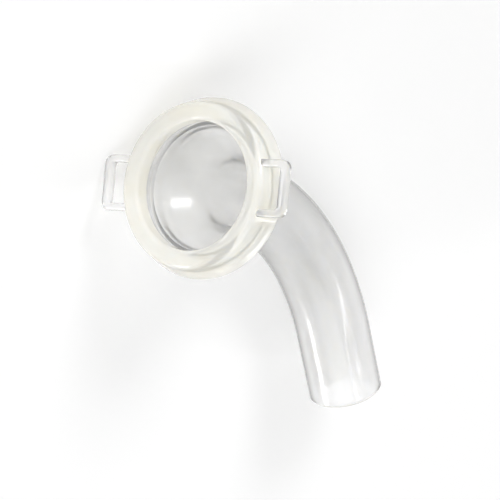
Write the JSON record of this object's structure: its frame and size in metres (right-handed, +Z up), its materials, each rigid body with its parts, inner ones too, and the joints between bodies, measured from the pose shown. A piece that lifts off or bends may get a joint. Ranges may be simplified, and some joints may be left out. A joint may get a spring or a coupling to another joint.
{
  "type": "laryngectomy tube",
  "caption": "Soft clear laryngectomy tube: a ring with a snap-in round socket and strap loops, a conical shield and a curved open shaft.",
  "frame": {"origin": "middle of the bounding box, on the plane that the tube lies on", "axes": "+Z up from that plane; seen from above, +X runs along the socket's axis from the mouth towards the shaft"},
  "size_m": [0.0702, 0.0444, 0.0314],
  "materials": {
    "silicone": "clear silicone with a smooth satin surface"
  },
  "bodies": {
    "root": {"laryngectomy_tube": "silicone"}
  },
  "joints": []
}
